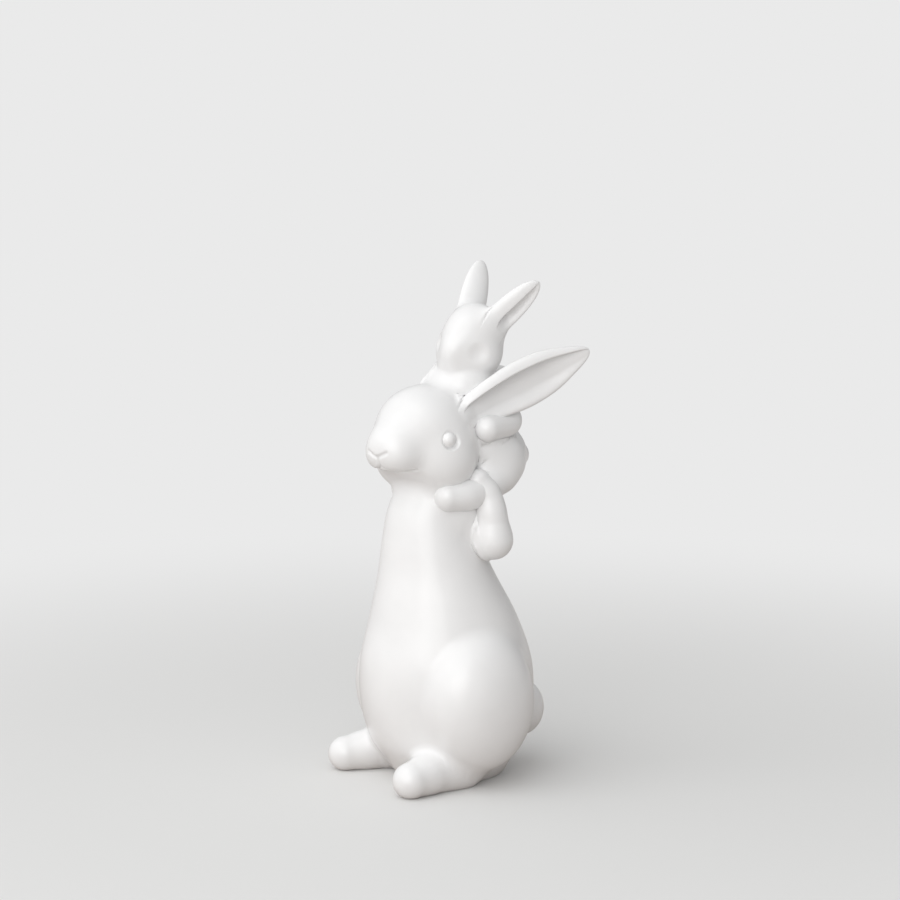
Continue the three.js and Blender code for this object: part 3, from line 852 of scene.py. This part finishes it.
class FIGURINE_studio(bpy.types.PropertyGroup):
    background: bpy.props.FloatVectorProperty(
        name="Background", description="Colour behind the figurine",
        default=linear("#EAEAEA")[:3], min=0, max=1, subtype="COLOR")
    key: bpy.props.FloatProperty(
        name="Key lamp", description="Power of the large lamp in front", default=8.6, min=0,
        unit="POWER")
    fill: bpy.props.FloatProperty(
        name="Fill lamp", description="Power of the lamp on the camera's side", default=5.4,
        min=0, unit="POWER")


SETTINGS = {
    "figurine_casting": FIGURINE_casting,
    "figurine_glaze": FIGURINE_glaze,
    "figurine_studio": FIGURINE_studio,
}


class FIGURINE_OT_mother_body(bpy.types.Operator):
    """Mother's body with its haunches: one wall, glazed outside, open at a vent in the base."""
    bl_idname = "figurine.mother_body"
    bl_label = "Mother's Body"

    def execute(self, context):
        sizes = context.scene.figurine_casting
        wall, vent_radius = 1000 * sizes.wall, 500 * sizes.vent
        columns, rows = 380, 220
        angle = np.arange(columns) / columns * 2 * np.pi
        way = np.stack([np.cos(angle), np.sin(angle), 0 * angle], axis=-1)

        def rings(z, inward=0.0):
            """Level rings: out from the body's middle line to its skin, less the wall inside."""
            axis = np.stack([0 * z, between(BODY_LEVELS, z)[:, 1], z], axis=-1)[:, None]
            ways = np.broadcast_to(way, (len(z), columns, 3))
            return axis + way * (reach_of(body_forms, axis, ways)[..., None] - inward)

        top = NECK_TOP + NECK_IN
        # The skin runs down the outside, in along the base, up the vent and up the inside
        outer = rings(top - (top + BASE_SINK) * np.arange(rows + 1) / rows)
        neck = outer[0].mean(axis=0)
        outer, _, _, normals = settle("body", outer, None, None)
        vent = [0, VENT_Y, 0] + way * vent_radius
        share = ((np.arange(24) + 1) / 24)[:, None, None]
        base = outer[-1] * (1 - share) + (vent - [0, 0, BASE_SINK]) * share
        throat = vent + np.array([0.2, 0.6, 1])[:, None, None] * [0, 0, wall]
        inner = rings(wall + (NECK_TOP - 8 - wall) * np.arange(60) / 59, wall)
        shelf = throat[-1] * (1 - share[1:-1:4]) + inner[0] * share[1:-1:4]
        skin = np.concatenate([outer, base, throat, shelf, inner])
        normals = np.concatenate([normals, facing(skin)[rows + 1:]])
        piece = shell("mother_body", [(skin, neck, inner[-1].mean(axis=0), normals)])
        # All but the outside is bare clay
        clay = np.zeros(len(piece.data.polygons), np.int32)
        clay[rows * columns:(len(skin) - 1) * columns] = 1
        clay[-columns:] = 1
        finish_piece(piece, "body")
        piece.data.materials.append(bare_clay())
        piece.data.polygons.foreach_set("material_index", clay)
        return {"FINISHED"}


class FIGURINE_OT_mother_head(bpy.types.Operator):
    """Mother's head, with eyes in their sockets and the nose and mouth lines."""
    bl_idname = "figurine.mother_head"
    bl_label = "Mother's Head"

    def execute(self, context):
        eyes = [on_skin(plain_head, at) for at in (EYE_AT, mirrored(EYE_AT))]
        ways = [eye / np.linalg.norm(eye) for eye in eyes]
        lines = (NOSE_LINE, mirrored(NOSE_LINE), MOUTH_LINE, MOUTH_CORNER, mirrored(MOUTH_CORNER))
        grooves = [rod([on_skin(plain_head, point) for point in line], LINE_RADIUS)
                   for line in lines]

        def face(p):
            """The head with a ring pressed in and a bead set in it for each eye, and its lines."""
            skin = plain_head(p)
            for eye, way in zip(eyes, ways):
                q = p - eye
                deep = q @ way
                wide = np.linalg.norm(q - deep[..., None] * way, axis=-1)
                ring = q - EYE_RING["shift"]
                rim = np.linalg.norm(ring - (ring @ way)[..., None] * way, axis=-1)
                groove = np.hypot(rim - EYE_RING["radius"], deep - EYE_RING["out"])
                skin = carve(skin, groove - EYE_RING["groove"], EYE_RING["blend"])
                bead = np.hypot(wide, deep + EYE_BEAD["sunk"]) - EYE_BEAD["radius"]
                skin = melt(skin, bead, EYE_BEAD["blend"])
            for groove in grooves:
                skin = carve(skin, groove(p), LINE_BLEND)
            return skin

        grid, low, high = round_grid(
            in_place(face, HEAD_AT, HEAD_TURN), HEAD_AT, 380, 240, 0.25, HEAD_TURN)
        finish_piece(shell("mother_head", [settle("head", grid, low, high)]), "head")
        return {"FINISHED"}


class FIGURINE_OT_mother_ears(bpy.types.Operator):
    """Mother's two ears, laid back from the head."""
    bl_idname = "figurine.mother_ears"
    bl_label = "Mother's Ears"

    def execute(self, context):
        for name, ear in (("ear_left", EAR_LEFT), ("ear_right", EAR_RIGHT)):
            grid, first, last = leaf(ear, EAR_STATIONS)
            piece = shell("mother_" + name, [settle(name, grid, first, last)])
            finish_piece(piece, name)
        return {"FINISHED"}


class FIGURINE_OT_mother_limbs(bpy.types.Operator):
    """Mother's arms, feet and tail."""
    bl_idname = "figurine.mother_limbs"
    bl_label = "Mother's Limbs"

    def execute(self, context):
        for ending, upper, lower, foot in both_sides(UPPER_ARM, FOREARM, FOOT):
            arm = [settle("upper_arm" + ending, *limb(upper)),
                   settle("forearm" + ending, *limb(lower))]
            finish_piece(shell("mother_arm" + ending, arm), "arm" + ending)
            sole = settle("foot" + ending, *limb(foot, 130, 150))
            finish_piece(shell("mother_foot" + ending, [sole]), "foot" + ending)
        tail = settle("tail", *round_grid(ball(TAIL), TAIL["centre"], 120, 80))
        finish_piece(shell("mother_tail", [tail]), "tail")
        return {"FINISHED"}


class FIGURINE_OT_young_body(bpy.types.Operator):
    """Young rabbit's body, legs, arms and tail."""
    bl_idname = "figurine.young_body"
    bl_label = "Young Rabbit's Body"

    def execute(self, context):
        trunk = round_grid(baby_body_field, BABY_CHEST["centre"], 220, 200)
        finish_piece(shell("young_body", [settle("young_body", *trunk)]), "baby_body")
        for ending, thigh, leg in both_sides(BABY_THIGH, BABY_LEG):
            haunch = round_grid(ball(thigh), thigh["centre"], 120, 90)
            parts = [settle("thigh" + ending, *haunch), settle("leg" + ending, *limb(leg))]
            finish_piece(shell("young_leg" + ending, parts), "baby_leg" + ending)
        for ending, points in (("_left", BABY_ARM_LEFT), ("_right", BABY_ARM_RIGHT)):
            arm = settle("young_arm" + ending, *limb(points))
            finish_piece(shell("young_arm" + ending, [arm]), "baby_arm" + ending)
        tail = settle("young_tail", *round_grid(ball(BABY_TAIL), BABY_TAIL["centre"], 80, 50))
        finish_piece(shell("young_tail", [tail]), "baby_tail")
        return {"FINISHED"}


class FIGURINE_OT_young_head(bpy.types.Operator):
    """Young rabbit's head with its ears."""
    bl_idname = "figurine.young_head"
    bl_label = "Young Rabbit's Head"

    def execute(self, context):
        eyes = [on_skin(plain_baby_head, at) for at in (BABY_EYE_AT, mirrored(BABY_EYE_AT))]

        def face(p):
            """The head with a shallow dish scooped out for each eye."""
            skin = plain_baby_head(p)
            for eye in eyes:
                out = eye / np.linalg.norm(eye) * BABY_EYE_DISH["out"]
                dish = np.linalg.norm(p - eye - out, axis=-1) - BABY_EYE_DISH["radius"]
                skin = carve(skin, dish, BABY_EYE_DISH["blend"])
            return skin

        skull = round_grid(in_place(face, BABY_HEAD_AT, BABY_HEAD_TURN), BABY_HEAD_AT, 260, 180,
                           turn=BABY_HEAD_TURN)
        finish_piece(shell("young_head", [settle("young_head", *skull)]), "baby_head")
        for name, ear in (("left", BABY_EAR_LEFT), ("right", BABY_EAR_RIGHT)):
            grid, first, last = leaf(ear, BABY_EAR_STATIONS, 100, 110)
            young = settle("young_ear_" + name, grid, first, last)
            finish_piece(shell("young_ear_" + name, [young]), "baby_ear_" + name)
        return {"FINISHED"}


def direction(azimuth, elevation):
    """Unit direction from two angles in degrees: round from the front to the left side, and up."""
    a, e = math.radians(azimuth), math.radians(elevation)
    return np.array([math.sin(a) * math.cos(e), -math.cos(a) * math.cos(e), math.sin(e)])


def studio_world(background):
    """World that lights the piece from one side of the studio more than from the other, and shows
    the plain background to the camera."""
    world = bpy.data.worlds.new("studio")
    world.use_nodes = True
    tree = world.node_tree
    light = tree.nodes["Background"]
    light.inputs["Color"].default_value = (1, 1, 1, 1)
    way = node(tree, "ShaderNodeTexCoord")
    aside = node(tree, "ShaderNodeVectorMath", {"operation": "DOT_PRODUCT", 1: LIGHT_SIDE},
                 {"Vector": way.outputs["Generated"]})
    sky = node(tree, "ShaderNodeMapRange", {
        "From Min": -0.9, "From Max": 0.9, "To Min": 0.22, "To Max": 0.86,
    }, {"Value": aside.outputs["Value"]})
    tree.links.new(sky.outputs["Result"], light.inputs["Strength"])
    seen = node(tree, "ShaderNodeBackground", {"Color": background, "Strength": 1.0})
    ray = node(tree, "ShaderNodeLightPath")
    mix = node(tree, "ShaderNodeMixShader", {}, {
        0: ray.outputs["Is Camera Ray"], 1: light.outputs["Background"],
        2: seen.outputs["Background"]})
    tree.links.new(mix.outputs["Shader"], tree.nodes["World Output"].inputs["Surface"])
    return world


def lamp(name, azimuth, elevation, far, size, power):
    """A round soft lamp, so many metres away in a direction, that looks at the figurine."""
    back = direction(azimuth, elevation)
    data = bpy.data.lights.new(name, "AREA")
    data.shape, data.size, data.energy = "DISK", size, power
    made = bpy.data.objects.new(name, data)
    made.location = back * far + [0, 0, 0.09]
    made.rotation_mode = "QUATERNION"
    made.rotation_quaternion = Vector(-back).to_track_quat("-Z", "Y")
    bpy.context.scene.collection.objects.link(made)


def picture_camera():
    """Camera of the picture's view: its axes are the columns of its matrix."""
    camera = bpy.data.cameras.new("camera")
    camera.lens, camera.sensor_width = VIEW["lens"], 36
    camera.clip_start, camera.clip_end = 0.05, 20
    back = direction(VIEW["azimuth"], VIEW["elevation"])
    right = direction(VIEW["azimuth"] + 90, 0)
    up = np.cross(back, right)
    place = np.eye(4)
    place[:3] = np.stack([right, up, back, back * VIEW["back"] + up * VIEW["up"]], axis=1)
    made = bpy.data.objects.new("camera", camera)
    made.matrix_world = Matrix(place.tolist())
    bpy.context.scene.collection.objects.link(made)
    bpy.context.scene.camera = made


class FIGURINE_OT_stage(bpy.types.Operator):
    """Pale floor, soft lamps and the camera at the picture's viewing angle."""
    bl_idname = "figurine.stage"
    bl_label = "Stage"

    def execute(self, context):
        scene = context.scene
        studio = scene.figurine_studio
        background = (*studio.background, 1)
        scene.view_settings.view_transform = "Standard"
        around = 96
        angle = np.arange(around) / around * 2 * np.pi
        rings = np.array([[r * np.cos(angle), r * np.sin(angle), 0 * angle] for r in (0.3, 1, 3)])
        points = np.concatenate([[[0, 0, 0]], rings.transpose(0, 2, 1).reshape(-1, 3)])
        j = np.arange(around)
        k = (j + 1) % around
        disc = np.stack([0 * j, 1 + j, 1 + k], axis=1)
        bands = [np.stack([1 + j, 1 + j + around, 1 + k + around, 1 + k], axis=1) + ring * around
                 for ring in (0, 1)]
        mesh = bpy.data.meshes.new("floor")
        mesh.from_pydata(points.tolist(), [], disc.tolist() + np.concatenate(bands).tolist())
        mesh.materials.append(matt_paper(background))
        floor = bpy.data.objects.new("floor", mesh)
        scene.collection.objects.link(floor)
        scene.world = studio_world(background)
        lamp("key", 12, 44, 1.5, 2.2, studio.key)
        lamp("fill", 42, 20, 1.6, 1.2, studio.fill)
        picture_camera()
        return {"FINISHED"}


class FIGURINE_PT_panel(bpy.types.Panel):
    bl_label = "Rabbit Figurine"
    bl_idname = "FIGURINE_PT_panel"
    bl_space_type = "VIEW_3D"
    bl_region_type = "UI"
    bl_category = "Figurine"

    def draw(self, context):
        for group, settings in SETTINGS.items():
            for name in settings.__annotations__:
                self.layout.prop(getattr(context.scene, group), name)
        for operator in OPERATORS:
            self.layout.operator(operator.bl_idname)


OPERATORS = (
    FIGURINE_OT_mother_body,
    FIGURINE_OT_mother_head,
    FIGURINE_OT_mother_ears,
    FIGURINE_OT_mother_limbs,
    FIGURINE_OT_young_body,
    FIGURINE_OT_young_head,
    FIGURINE_OT_stage,
)
CLASSES = (*SETTINGS.values(), *OPERATORS, FIGURINE_PT_panel)


def register():
    for part in CLASSES:
        bpy.utils.register_class(part)
    for name, group in SETTINGS.items():
        setattr(bpy.types.Scene, name, bpy.props.PointerProperty(type=group))


def unregister():
    for name in SETTINGS:
        delattr(bpy.types.Scene, name)
    for part in reversed(CLASSES):
        bpy.utils.unregister_class(part)


def main():
    register()
    bpy.ops.figurine.mother_body()
    bpy.ops.figurine.mother_head()
    bpy.ops.figurine.mother_ears()
    bpy.ops.figurine.mother_limbs()
    bpy.ops.figurine.young_body()
    bpy.ops.figurine.young_head()
    bpy.ops.figurine.stage()


if __name__ == "__main__":
    main()
